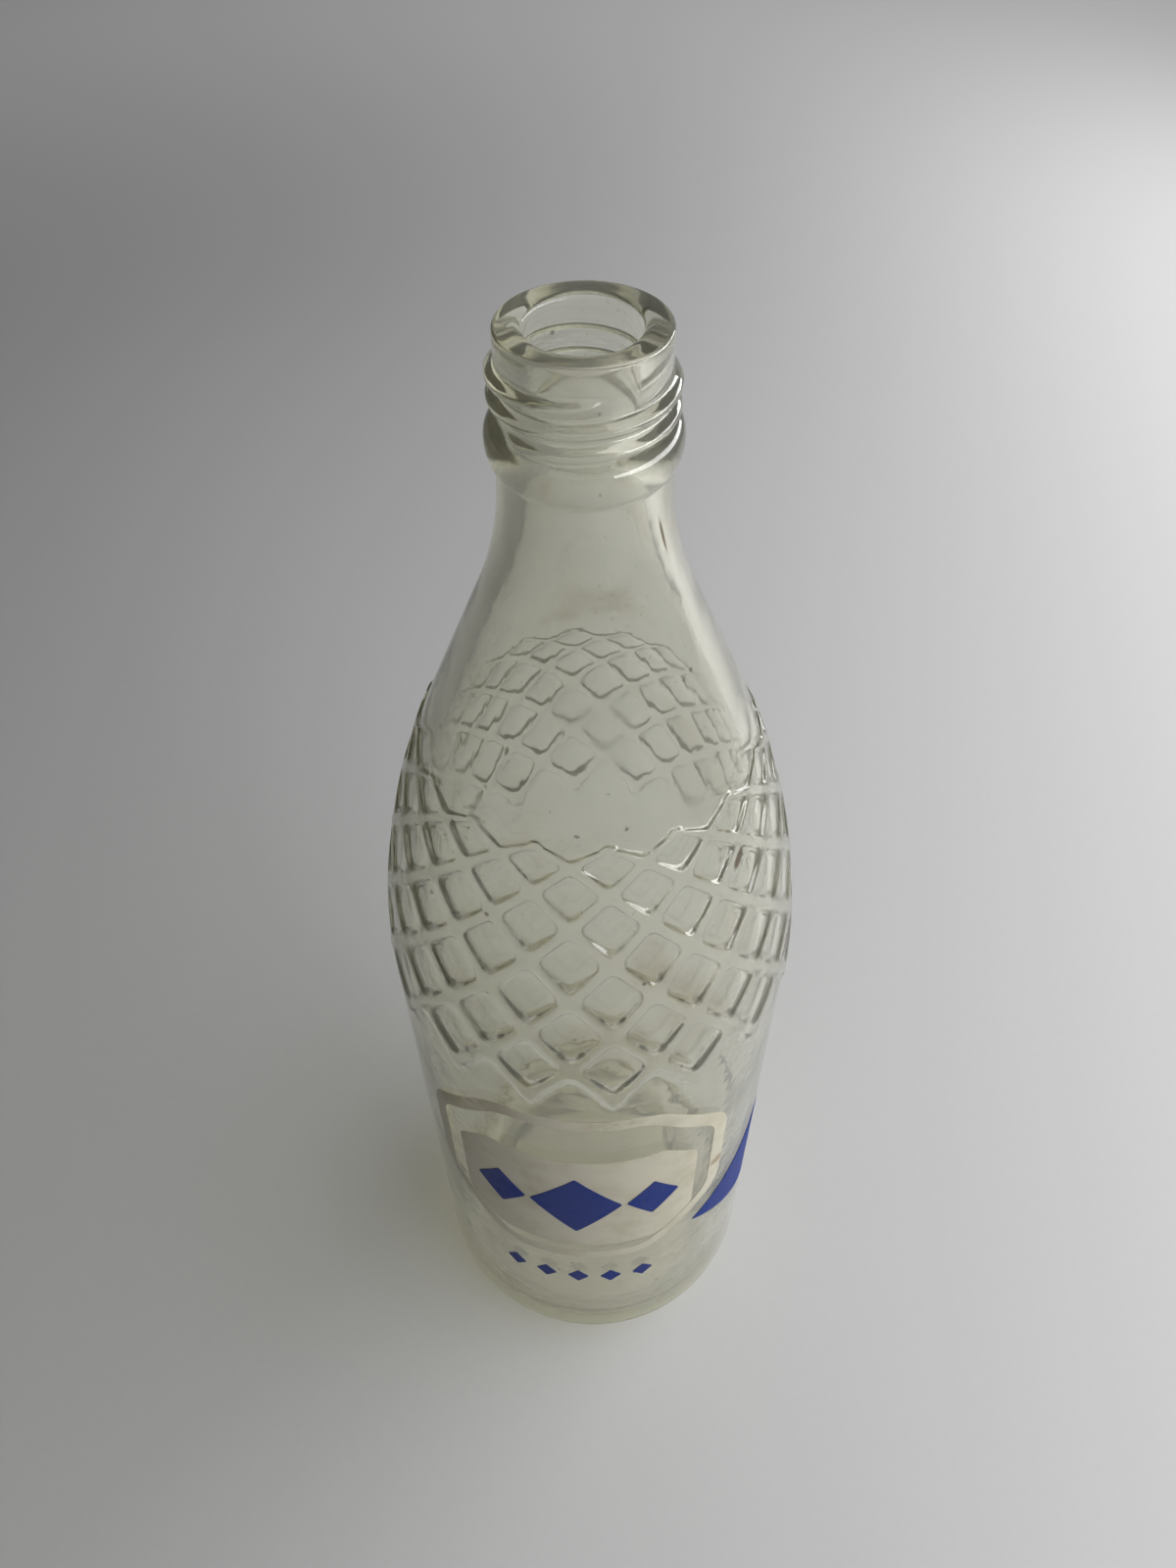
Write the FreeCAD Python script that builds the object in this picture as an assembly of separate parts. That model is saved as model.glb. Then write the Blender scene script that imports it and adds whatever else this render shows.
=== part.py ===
import FreeCAD, Part
import math
import os
from FreeCAD import Base, Vector

# Glass soda bottle, in mm. Z is the bottle's axis, the foot stands on z = 0,
# and the middle of the front print faces -Y.

# Body and foot
body_radius = 43.45
body_height = 141.0
wall = 3.8
heel_radius = 8.0
heel_runs = 4
foot_width = 2.5
push_up = 4.0
push_up_radius = 27.0
base_thickness = 5.0
inner_heel = 9.0

# Shoulder and neck
cone_angle = math.radians(22.8)
cone_length = 26.6
flare_radius = 60.0
inner_flare_radius = 68.0
inner_flare_runs = 2
neck_radius = 13.25
neck_length = 1.1

# Mouth
bead_bulge = 1.45
bead_height = 7.4
bead_slope = 3.0
finish_radius = 12.5
finish_height = 13.3
lip_round = 0.6
bore_radius = 8.25
mouth_flare = 0.5

# Lattice of raised ribs on the shoulder
cells_round = 16
half_rows = 8
lattice_start = 5.7
lattice_height = 65.3
row_growth = 1.42
rib_height = 0.7
rib_foot = 3.0
rib_top = 1.4
rib_sink = 0.5
pocket_depth = 1.0
notch_reach = 1.6  # times the cell's side, so that a notch runs out of the band

# Printed enamel
enamel = 0.15
print_clearance = 0.1
print_drop = 4.0
frame_width = 76.0
frame_height = 76.0
frame_corner = 20.0
frame_line = 4.0
field_gap = 4.5
field_drop = 20.0
field_corner = 9.0
big_width = 22.0
big_height = 30.0
small_width = 13.0
small_height = 18.0
lozenge_gap = 1.0
row_count = 5
row_width = 5.5
row_height = 7.5
row_pitch = 8.5
row_drop = 14.0
side_turn = math.radians(76)
side_width = 54.0
side_height = 40.0
side_drop = 72.0

# Worked out from the sizes above
cone_cos = math.cos(cone_angle)
cone_sin = math.sin(cone_angle)
shoulder_drop = body_radius - neck_radius - flare_radius * (1 - cone_cos) - cone_length * cone_sin
shoulder_radius = shoulder_drop / (1 - cone_cos)
shoulder_centre = Vector(body_radius - shoulder_radius, 0, body_height)
neck_start = body_height + (shoulder_radius + flare_radius) * cone_sin + cone_length * cone_cos
bead_start = neck_start + neck_length
finish_start = bead_start + bead_height
height = finish_start + finish_height
floor_height = push_up + base_thickness
lip_out = Vector(finish_radius - lip_round, 0, height)
cell_angle = 2 * math.pi / cells_round
print_top = body_height - print_drop
frame_level = print_top - frame_height / 2
field_width = frame_width - 2 * (frame_line + field_gap)
field_height = frame_height - frame_line - field_gap - field_drop
field_level = print_top - field_drop - field_height / 2
row_level = print_top - frame_height - row_drop
side_level = print_top - side_drop


def on_arc(centre, radius, angle):
    return centre + Vector(radius * math.cos(angle), 0, radius * math.sin(angle))


def line(a, b):
    return Part.LineSegment(a, b).toShape()


def arc(a, middle, b):
    return Part.Arc(a, middle, b).toBSpline().toShape()


def runs(centre, radius, start, end, count):
    # A round stretch drawn as a few straight runs.
    points = [on_arc(centre, radius, start + (end - start) * i / count) for i in range(count + 1)]
    return [line(a, b) for a, b in zip(points, points[1:])]


def turned(edges):
    # One closed outline in the XZ plane, turned once round the bottle's axis.
    face = Part.Face(Part.Wire(edges))
    return face.revolve(Vector(0, 0, 0), Vector(0, 0, 1), 360)


def outer_edges():
    # From the middle of the foot up the outside to the lip.
    foot_radius = body_radius - heel_radius
    heel_centre = Vector(foot_radius, 0, heel_radius)
    push_middle = Vector(0, 0, push_up)
    push_edge = Vector(push_up_radius, 0, push_up)
    foot_in = Vector(foot_radius - foot_width, 0, 0)
    foot_out = Vector(foot_radius, 0, 0)
    heel_top = Vector(body_radius, 0, heel_radius)
    heel = runs(heel_centre, heel_radius, -math.pi / 2, 0, heel_runs)
    body_top = Vector(body_radius, 0, body_height)
    cone_low = on_arc(shoulder_centre, shoulder_radius, cone_angle)
    cone_high = cone_low + Vector(-cone_length * cone_sin, 0, cone_length * cone_cos)
    flare_centre = Vector(neck_radius + flare_radius, 0, neck_start)
    neck_low = Vector(neck_radius, 0, neck_start)
    neck_high = Vector(neck_radius, 0, bead_start)
    bead_low = Vector(neck_radius + bead_bulge, 0, bead_start + bead_slope)
    bead_high = Vector(neck_radius + bead_bulge, 0, finish_start - bead_bulge)
    finish_low = Vector(finish_radius, 0, finish_start)
    finish_high = Vector(finish_radius, 0, height - lip_round)
    lip_middle = on_arc(Vector(lip_out.x, 0, height - lip_round), lip_round, math.radians(45))
    return [
        line(push_middle, push_edge),
        line(push_edge, foot_in),
        line(foot_in, foot_out),
        *heel,
        line(heel_top, body_top),
        arc(body_top, on_arc(shoulder_centre, shoulder_radius, cone_angle / 2), cone_low),
        line(cone_low, cone_high),
        arc(cone_high, on_arc(flare_centre, flare_radius, math.pi + cone_angle / 2), neck_low),
        line(neck_low, neck_high),
        line(neck_high, bead_low),
        line(bead_low, bead_high),
        line(bead_high, finish_low),
        line(finish_low, finish_high),
        line(finish_high, lip_middle),
        line(lip_middle, lip_out),
    ]


def inner_edges():
    # From the lip down the inside to the middle of the floor.
    inside = body_radius - wall
    shoulder_inside = shoulder_radius - wall
    lip_in = Vector(bore_radius + mouth_flare, 0, height)
    bore_high = Vector(bore_radius, 0, height - mouth_flare)
    cone_low = on_arc(shoulder_centre, shoulder_inside, cone_angle)
    lean = inner_flare_radius - (bore_radius + inner_flare_radius - cone_low.x) * cone_cos
    flare_centre = Vector(bore_radius + inner_flare_radius, 0, cone_low.z + lean / cone_sin)
    bore_low = Vector(bore_radius, 0, flare_centre.z)
    cone_high = on_arc(flare_centre, inner_flare_radius, math.pi + cone_angle)
    flare = runs(flare_centre, inner_flare_radius, math.pi, math.pi + cone_angle, inner_flare_runs)
    shoulder_high = on_arc(shoulder_centre, shoulder_inside, cone_angle * 2 / 3)
    shoulder_low = on_arc(shoulder_centre, shoulder_inside, cone_angle / 3)
    wall_top = Vector(inside, 0, body_height)
    wall_low = Vector(inside, 0, floor_height + inner_heel)
    floor_out = Vector(inside - inner_heel, 0, floor_height)
    floor_middle = Vector(0, 0, floor_height)
    return [
        line(lip_out, lip_in),
        line(lip_in, bore_high),
        line(bore_high, bore_low),
        *flare,
        line(cone_high, cone_low),
        line(cone_low, shoulder_high),
        line(shoulder_high, shoulder_low),
        line(shoulder_low, wall_top),
        line(wall_top, wall_low),
        line(wall_low, floor_out),
        line(floor_out, floor_middle),
    ]


def plain_bottle():
    axis = line(Vector(0, 0, floor_height), Vector(0, 0, push_up))
    return turned(outer_edges() + inner_edges() + [axis])


def row_length(row):
    # How far up the shoulder a row of crossings lies; rows get closer towards the top.
    share = 1 - row / half_rows
    return lattice_start + lattice_height * (1 - share ** row_growth)


def shoulder_point(length, turn, lift):
    # A point above the shoulder, turned from the front.
    flat = on_arc(shoulder_centre, shoulder_radius + lift, length / shoulder_radius)
    return Vector(flat.x * math.sin(turn), -flat.x * math.cos(turn), flat.z)


def inset_outline(corners, inset):
    # Every side of a flat outline moved inwards; corners run anticlockwise.
    moved = []
    for i, here in enumerate(corners):
        before = (here - corners[i - 1]).normalize()
        after = (corners[(i + 1) % len(corners)] - here).normalize()
        normal_before = Vector(-before.y, before.x, 0)
        normal_after = Vector(-after.y, after.x, 0)
        reach = inset / (1 + normal_before.dot(normal_after))
        moved.append(here + (normal_before + normal_after) * reach)
    return moved


def frustum(low, high):
    # A solid with flat sides between two outlines of the same corners.
    count = len(low)
    faces = [Part.Face(Part.makePolygon(low + low[:1])), Part.Face(Part.makePolygon(high + high[:1]))]
    for i in range(count):
        j = (i + 1) % count
        faces.append(Part.Face(Part.makePolygon([low[i], low[j], high[j], high[i], low[i]])))
    return Part.Solid(Part.Shell(faces))


def pocket(row):
    # The space between four ribs, at the front, with a flat floor. Over the top row and under
    # the bottom row it is a notch, cut down to the plain glass and open on the far side.
    length = row_length(row)
    origin = shoulder_point(length, 0, 0)
    side = Vector(1, 0, 0)
    up = (shoulder_point(length + 1, 0, 0) - shoulder_point(length - 1, 0, 0)).normalize()
    outward = side.cross(up)

    def flat(at, turn):
        reach = shoulder_point(at, turn, 0) - origin
        return Vector(reach.dot(side), reach.dot(up), 0)

    left = flat(length, -cell_angle / 2)
    right = flat(length, cell_angle / 2)
    floor = -2 * rib_sink
    if row == 0:
        tip = flat(row_length(1), 0)
        corners = [tip, tip + (left - tip) * notch_reach, tip + (right - tip) * notch_reach]
    elif row == half_rows:
        tip = flat(row_length(row - 1), 0)
        corners = [tip, tip + (right - tip) * notch_reach, tip + (left - tip) * notch_reach]
    else:
        corners = [flat(row_length(row - 1), 0), right, flat(row_length(row + 1), 0), left]
        floor = rib_height - pocket_depth

    def ring(lift):
        rib_width = rib_foot + (rib_top - rib_foot) * lift / rib_height
        return [origin + side * p.x + up * p.y + outward * lift
                for p in inset_outline(corners, rib_width / 2)]

    return frustum(ring(floor), ring(2 * rib_height))


def pockets_round(row):
    # Crossings of the even rows lie half a cell either side of the front.
    first = pocket(row)
    copies = []
    for i in range(cells_round):
        copy = first.copy()
        turn = (i + row % 2 / 2) * cell_angle
        copy.rotate(Vector(0, 0, 0), Vector(0, 0, 1), math.degrees(turn))
        copies.append(copy)
    return copies


def rib_band():
    # A sleeve over the shoulder, from just inside the glass to the tops of the ribs.
    low = row_length(0) - rib_foot / 4
    high = row_length(half_rows) + rib_foot / 4
    middle = (low + high) / 2

    def at(length, lift):
        return on_arc(shoulder_centre, shoulder_radius + lift, length / shoulder_radius)

    return turned([
        arc(at(low, -rib_sink), at(middle, -rib_sink), at(high, -rib_sink)),
        line(at(high, -rib_sink), at(high, rib_height)),
        arc(at(high, rib_height), at(middle, rib_height), at(low, rib_height)),
        line(at(low, rib_height), at(low, -rib_sink)),
    ])


def glass_bottle():
    band = rib_band().cut(pockets_round(0) + pockets_round(half_rows))
    pockets = [copy for row in range(1, half_rows) for copy in pockets_round(row)]
    return plain_bottle().fuse(band).cut(pockets)


def layer_radius(layer):
    # The inside of a print: layer 0 lies on the glass, layer 1 on another print.
    return body_radius + print_clearance + layer * (enamel + print_clearance)


def wrapped(outline, radius, thickness, turn, level):
    # A flat outline rolled onto the body and thickened outwards; turn is from the front.
    roller = Part.Cylinder()
    roller.Radius = radius
    corners = [Base.Vector2d(math.pi + x / body_radius, level + z) for x, z in outline]
    edges = [Part.Geom2d.Line2dSegment(a, b).toShape(roller)
             for a, b in zip(corners, corners[1:] + corners[:1])]
    face = Part.Face(roller, Part.Wire(edges))
    face.validate()
    patch = face.makeOffsetShape(thickness, 0.0001, fill=True)
    patch.rotate(Vector(0, 0, 0), Vector(0, 0, 1), 90 + math.degrees(turn))
    return patch


def lozenge(width, tall):
    return [(0, -tall / 2), (width / 2, 0), (0, tall / 2), (-width / 2, 0)]


def octagon(width, tall, corner):
    x, z = width / 2, tall / 2
    return [(corner - x, -z), (x - corner, -z), (x, corner - z), (x, z - corner),
            (x - corner, z), (corner - x, z), (-x, z - corner), (-x, corner - z)]


def print_frame():
    inner_corner = frame_corner - frame_line * (2 - math.sqrt(2))
    inner = octagon(frame_width - 2 * frame_line, frame_height - 2 * frame_line, inner_corner)
    outer = octagon(frame_width, frame_height, frame_corner)
    hole = wrapped(inner, layer_radius(0) - enamel, 3 * enamel, 0, frame_level)
    return wrapped(outer, layer_radius(0), enamel, 0, frame_level).cut(hole)


def print_field():
    outline = octagon(field_width, field_height, field_corner)
    return wrapped(outline, layer_radius(0), enamel, 0, field_level)


def field_lozenge(side):
    # Blue over the white field: side is 0 for the big one, -1 and 1 for its neighbours.
    step = (big_width + small_width) / 2 + lozenge_gap
    outline = lozenge(small_width, small_height) if side else lozenge(big_width, big_height)
    turn = side * step / body_radius
    return wrapped(outline, layer_radius(1), enamel, turn, field_level)


def lozenge_row():
    outline = lozenge(row_width, row_height)
    places = [(i - (row_count - 1) / 2) * row_pitch for i in range(row_count)]
    return Part.makeCompound([wrapped(outline, layer_radius(0), enamel, x / body_radius, row_level)
                              for x in places])


def lozenge_side():
    outline = lozenge(side_width, side_height)
    return wrapped(outline, layer_radius(0), enamel, side_turn, side_level)


os.makedirs("parts", exist_ok=True)
pieces = {
    "glass_bottle": glass_bottle(),
    "print_frame": print_frame(),
    "print_field": print_field(),
    "lozenge_middle": field_lozenge(0),
    "lozenge_left": field_lozenge(-1),
    "lozenge_right": field_lozenge(1),
    "lozenge_row": lozenge_row(),
    "lozenge_side": lozenge_side(),
}
for name, shape in pieces.items():
    print(name, len(shape.Solids), shape.isValid(), round(shape.Volume, 1))
    shape.exportStep("parts/" + name + ".step")
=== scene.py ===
import bpy
import bmesh
import math
from mathutils import Matrix, Vector, noise


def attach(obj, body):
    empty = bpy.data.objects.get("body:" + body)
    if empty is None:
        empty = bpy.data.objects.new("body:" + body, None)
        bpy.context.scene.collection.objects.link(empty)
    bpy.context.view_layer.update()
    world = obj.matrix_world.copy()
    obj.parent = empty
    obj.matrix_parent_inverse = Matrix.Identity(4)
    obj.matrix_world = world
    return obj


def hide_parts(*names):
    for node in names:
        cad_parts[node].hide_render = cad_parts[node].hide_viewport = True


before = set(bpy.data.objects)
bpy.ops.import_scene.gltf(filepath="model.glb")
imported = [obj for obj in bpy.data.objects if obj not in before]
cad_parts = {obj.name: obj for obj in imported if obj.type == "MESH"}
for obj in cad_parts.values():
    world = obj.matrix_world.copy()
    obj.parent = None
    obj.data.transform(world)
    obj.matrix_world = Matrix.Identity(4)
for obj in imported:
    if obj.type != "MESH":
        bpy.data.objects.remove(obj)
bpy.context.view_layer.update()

mm = 0.001  # shapes are written in mm and scaled to metres; looks and the stage are in metres


# small helpers

def smoothStep(low, high, value):
    t = min(max((value - low) / (high - low), 0.0), 1.0)
    return t * t * (3 - 2 * t)


def around(radius, turn, level):
    # a point at a turn from the front, the front being -Y
    return Vector((radius * math.sin(turn), -radius * math.cos(turn), level))


def ovalStations(centre, across, up, start, end, steps):
    # points of (radius, level) along part of an oval, without its first one
    turns = [math.radians(start + (end - start) * i / steps) for i in range(1, steps + 1)]
    return [(centre[0] + across * math.cos(t), centre[1] + up * math.sin(t)) for t in turns]


def arcStations(centre, radius, start, end, steps):
    return ovalStations(centre, radius, radius, start, end, steps)


def arcPoint(centre, radius, angle):
    return arcStations(centre, radius, angle, angle, 1)[0]


def lineStations(start, end, steps):
    return [(start[0] + (end[0] - start[0]) * i / steps, start[1] + (end[1] - start[1]) * i / steps)
            for i in range(1, steps + 1)]


def finishMesh(bm, name, material, node, sharpAngle=0):
    # scale to metres, put it in the scene and let it stand for its CAD node
    bmesh.ops.recalc_face_normals(bm, faces=bm.faces)
    bmesh.ops.scale(bm, vec=(mm, mm, mm), verts=bm.verts)
    mesh = bpy.data.meshes.new(name)
    bm.to_mesh(mesh)
    bm.free()
    for face in mesh.polygons:
        face.use_smooth = True
    if sharpAngle:
        mesh.set_sharp_from_angle(angle=math.radians(sharpAngle))
    piece = bpy.data.objects.new(name, mesh)
    bpy.context.scene.collection.objects.link(piece)
    mesh.materials.append(material)
    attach(piece, "root")
    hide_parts(node)
    print(name, "has", len(mesh.polygons), "faces")


# node helpers

mixSockets = {"factor": 0, "first": 6, "second": 7, "result": 2}  # where a Mix node keeps its colours


def addNode(tree, kind, **values):
    node = tree.nodes.new(kind)
    for key, value in values.items():
        setattr(node, key, value)
    return node


def setInputs(node, values):
    for key, value in values.items():
        node.inputs[key].default_value = value


def noiseNode(tree, vector, scale, detail=4.0, roughness=0.55):
    node = addNode(tree, "ShaderNodeTexNoise")
    setInputs(node, {"Scale": scale, "Detail": detail, "Roughness": roughness})
    tree.links.new(vector, node.inputs["Vector"])
    return node.outputs["Fac"]


def rangeNode(tree, value, fromLow, fromHigh, toLow=0.0, toHigh=1.0):
    node = addNode(tree, "ShaderNodeMapRange", interpolation_type="SMOOTHSTEP")
    setInputs(node, {"From Min": fromLow, "From Max": fromHigh, "To Min": toLow, "To Max": toHigh})
    tree.links.new(value, node.inputs["Value"])
    return node.outputs["Result"]


def mathNode(tree, operation, first, second):
    node = addNode(tree, "ShaderNodeMath", operation=operation)
    for i, value in enumerate((first, second)):
        if isinstance(value, (int, float)):
            node.inputs[i].default_value = value
        else:
            tree.links.new(value, node.inputs[i])
    return node.outputs["Value"]


def colourMix(tree, factor, first, second):
    node = addNode(tree, "ShaderNodeMix", data_type="RGBA")
    for name, value in (("factor", factor), ("first", first), ("second", second)):
        socket = node.inputs[mixSockets[name]]
        if isinstance(value, tuple):
            socket.default_value = (*value, 1.0)
        else:
            tree.links.new(value, socket)
    return node.outputs[mixSockets["result"]]


def splitPlace(tree, place):
    node = addNode(tree, "ShaderNodeSeparateXYZ")
    tree.links.new(place, node.inputs[0])
    return node.outputs


def distanceFrom(tree, place, centre):
    node = addNode(tree, "ShaderNodeVectorMath", operation="DISTANCE")
    tree.links.new(place, node.inputs[0])
    node.inputs[1].default_value = centre
    return node.outputs["Value"]


def newMaterial(name):
    material = bpy.data.materials.new(name)
    material.use_nodes = True
    tree = material.node_tree
    tree.nodes.clear()
    shader = addNode(tree, "ShaderNodeBsdfPrincipled")
    output = addNode(tree, "ShaderNodeOutputMaterial")
    place = addNode(tree, "ShaderNodeTexCoord").outputs["Object"]
    return material, tree, shader, output, place


# wear that the glass and the enamel share

scuffLook = {
    "detail": 5.0, "roughness": 0.6,
    "cloudFrom": (0.42, 0.72),  # clear below the first height of the noise, clouded above the second
    "speckFrom": (0.46, 0.52),  # and specks lie only where it is this high
    "speckEdge": (1.0, 0.47),  # a speck's soft edge, in shares of its radius
}


def scuffGroup():
    group = bpy.data.node_groups.new("handlingScuffs", "ShaderNodeTree")
    group.interface.new_socket("Vector", in_out="INPUT", socket_type="NodeSocketVector")
    for side, names in (("INPUT", ("Cloud Scale", "Speck Scale", "Speck Size")),
                        ("OUTPUT", ("Cloud", "Specks", "Height"))):
        for name in names:
            group.interface.new_socket(name, in_out=side, socket_type="NodeSocketFloat")
    entry = addNode(group, "NodeGroupInput")
    leave = addNode(group, "NodeGroupOutput")
    cloud = addNode(group, "ShaderNodeTexNoise")
    setInputs(cloud, {"Detail": scuffLook["detail"], "Roughness": scuffLook["roughness"]})
    group.links.new(entry.outputs["Vector"], cloud.inputs["Vector"])
    group.links.new(entry.outputs["Cloud Scale"], cloud.inputs["Scale"])
    speck = addNode(group, "ShaderNodeTexVoronoi")
    group.links.new(entry.outputs["Vector"], speck.inputs["Vector"])
    group.links.new(entry.outputs["Speck Scale"], speck.inputs["Scale"])
    cloudMask = rangeNode(group, cloud.outputs["Fac"], *scuffLook["cloudFrom"])
    inRadii = mathNode(group, "DIVIDE", speck.outputs["Distance"], entry.outputs["Speck Size"])
    dots = rangeNode(group, inRadii, *scuffLook["speckEdge"])
    speckZone = rangeNode(group, cloud.outputs["Fac"], *scuffLook["speckFrom"])
    speckMask = mathNode(group, "MULTIPLY", dots, speckZone)
    group.links.new(cloudMask, leave.inputs["Cloud"])
    group.links.new(speckMask, leave.inputs["Specks"])
    group.links.new(mathNode(group, "ADD", cloud.outputs["Fac"], speckMask), leave.inputs["Height"])
    return group


scuffs = scuffGroup()


def placeScuffs(tree, place, values):
    node = addNode(tree, "ShaderNodeGroup", node_tree=scuffs)
    setInputs(node, values)
    tree.links.new(place, node.inputs["Vector"])
    return node.outputs


strokeDeep = 0.003  # how far a stroke reaches into the surface, which is curved


def strokeMask(tree, place, stroke):
    # 1 along a short stroke on the surface, 0 away from it
    low, high = Vector(stroke["low"]), Vector(stroke["high"])
    middle = (low + high) / 2
    along = (high - low).normalized()
    across = along.cross((middle.x, middle.y, 0)).normalized()
    lie = addNode(tree, "ShaderNodeMapping", vector_type="TEXTURE")
    turn = Matrix((across, along.cross(across), along)).transposed().to_euler()
    setInputs(lie, {"Location": middle, "Rotation": turn,
                    "Scale": (stroke["wide"], strokeDeep, (high - low).length / 2)})
    tree.links.new(place, lie.inputs["Vector"])
    reach = addNode(tree, "ShaderNodeVectorMath", operation="LENGTH")
    tree.links.new(lie.outputs[0], reach.inputs[0])
    return rangeNode(tree, reach.outputs["Value"], 1.0, stroke["core"])


# clear glass

glassLook = {
    "clear": (0.94, 0.945, 0.91), "ior": 1.52, "clearness": 0.95,
    "inside": (0.66, 0.645, 0.38, 1.0), "density": 38.0,  # the tint of thick glass
    "shadowTint": (0.68, 0.68, 0.66, 1.0),
    "smooth": 0.02, "hazy": 0.12,
    "bump": 0.14, "bumpDeep": 0.0006,
    "rippleScale": 85.0, "rippleDetail": 2.0, "peelScale": 330.0, "peelDetail": 1.0, "peel": 0.22,
    "shoulderFrom": (0.145, 0.175), "bodyShare": 0.35,  # the body has less stain and dust than the shoulder
    "stained": (0.50, 0.38, 0.20), "stain": 0.4, "stainScale": 42.0, "stainFrom": (0.53, 0.72),
    "residueStain": 0.3, "residueHaze": 0.3,
    "mouthFrom": (0.262, 0.272), "mouthHaze": 0.06,
    "rubbedTopAndHighlight": (1.0, 1.0, 0.97), "rubbedHaze": 0.2,  # the tops of the ribs: paler, partly from rubbing and partly a painted highlight, and hazier from rubbing
    "grimeAndShade": (0.22, 0.19, 0.12), "grimeAndShadeShare": 0.85, "grimeAndShadeFrom": (0.12, 0.5),  # along their sides: brown grime, and painted shade for the dark lines beside the ribs
    "grainScale": 260.0, "grainFrom": (0.36, 0.66), "grainShare": (0.35, 1.0),
    "scuffs": {"Cloud Scale": 55.0, "Speck Scale": 120.0, "Speck Size": 0.075},
    "dust": {"Cloud Scale": 34.0, "Speck Scale": 560.0, "Speck Size": 0.13}, "dustShare": 0.45,
    # the dark brown of the marks: a stain on the right, and a painted shade line on the neck
    "speck": (0.12, 0.09, 0.05), "markAndShade": (0.07, 0.035, 0.012),
}
# the right drop is a brown stain; the neck line is painted shade, a dark refraction line
brownMarksAndShade = {
    "rightDrop": {"low": (0.0280, -0.0218, 0.1958), "high": (0.0291, -0.0180, 0.2003),
                  "wide": 0.0013, "core": 0.6},
    "neckShadeLine": {"low": (0.0133, -0.0059, 0.2518), "high": (0.0112, -0.0071, 0.2616),
                "wide": 0.0005, "core": 0.4},
}
# where the film inside starts and where it is full
residueFrom = {"radius": (0.0405, 0.0400), "floor": (0.0074, 0.0084), "top": (0.036, 0.010)}


def driedResidue(tree, place):
    # a cloudy film inside, on the floor and the lowest part of the wall
    level = splitPlace(tree, place)["Z"]
    flat = addNode(tree, "ShaderNodeVectorMath", operation="MULTIPLY")
    tree.links.new(place, flat.inputs[0])
    flat.inputs[1].default_value = (1, 1, 0)
    radius = addNode(tree, "ShaderNodeVectorMath", operation="LENGTH")
    tree.links.new(flat.outputs[0], radius.inputs[0])
    film = rangeNode(tree, radius.outputs["Value"], *residueFrom["radius"])
    film = mathNode(tree, "MULTIPLY", film, rangeNode(tree, level, *residueFrom["floor"]))
    return mathNode(tree, "MULTIPLY", film, rangeNode(tree, level, *residueFrom["top"]))


def glassColour(tree, place, scuffed, residue, rib):
    look = glassLook
    onShoulder = rangeNode(tree, splitPlace(tree, place)["Z"], *look["shoulderFrom"], look["bodyShare"])
    clouds = noiseNode(tree, place, look["stainScale"])
    stain = rangeNode(tree, clouds, *look["stainFrom"], 0.0, look["stain"])
    stain = mathNode(tree, "MULTIPLY", stain, onShoulder)
    film = mathNode(tree, "MULTIPLY", residue, look["residueStain"])
    colour = colourMix(tree, mathNode(tree, "MAXIMUM", stain, film), look["clear"], look["stained"])
    # rib tops paler: rubbed, and partly a painted highlight
    colour = colourMix(tree, rib, colour, look["rubbedTopAndHighlight"])
    flank = mathNode(tree, "PINGPONG", rib, look["grimeAndShadeFrom"][1])  # highest halfway up a rib's side
    grain = noiseNode(tree, place, look["grainScale"])
    grain = rangeNode(tree, grain, *look["grainFrom"], *look["grainShare"])
    # brown grime along the rib sides, partly painted shade: the dark lines beside the ribs
    grimeAndShade = mathNode(tree, "MULTIPLY", rangeNode(tree, flank, *look["grimeAndShadeFrom"]), grain)
    grimeAndShade = mathNode(tree, "MULTIPLY", grimeAndShade, look["grimeAndShadeShare"])
    colour = colourMix(tree, grimeAndShade, colour, look["grimeAndShade"])
    colour = colourMix(tree, scuffed["Specks"], colour, look["speck"])
    dust = placeScuffs(tree, place, look["dust"])["Specks"]
    dust = mathNode(tree, "MULTIPLY", mathNode(tree, "MULTIPLY", dust, onShoulder), look["dustShare"])
    colour = colourMix(tree, dust, colour, look["speck"])
    # a brown stain, and a line of painted shade on the neck
    for markAndShade in brownMarksAndShade.values():
        colour = colourMix(tree, strokeMask(tree, place, markAndShade), colour, look["markAndShade"])
    return colour


def glassRoughness(tree, place, scuffed, residue, rib):
    look = glassLook
    rough = rangeNode(tree, scuffed["Cloud"], 0.0, 1.0, look["smooth"], look["hazy"])
    film = mathNode(tree, "MULTIPLY", residue, look["residueHaze"])
    rubbed = mathNode(tree, "MULTIPLY", rib, look["rubbedHaze"])
    mouth = rangeNode(tree, splitPlace(tree, place)["Z"], *look["mouthFrom"], 0.0, look["mouthHaze"])
    for haze in (film, rubbed, mouth):
        rough = mathNode(tree, "MAXIMUM", rough, haze)
    return rough


def glassNormal(tree, place):
    look = glassLook
    ripple = noiseNode(tree, place, look["rippleScale"], look["rippleDetail"])
    peel = noiseNode(tree, place, look["peelScale"], look["peelDetail"])
    height = mathNode(tree, "ADD", ripple, mathNode(tree, "MULTIPLY", peel, look["peel"]))
    bump = addNode(tree, "ShaderNodeBump")
    setInputs(bump, {"Strength": look["bump"], "Distance": look["bumpDeep"]})
    tree.links.new(height, bump.inputs["Height"])
    return bump.outputs["Normal"]


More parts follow.
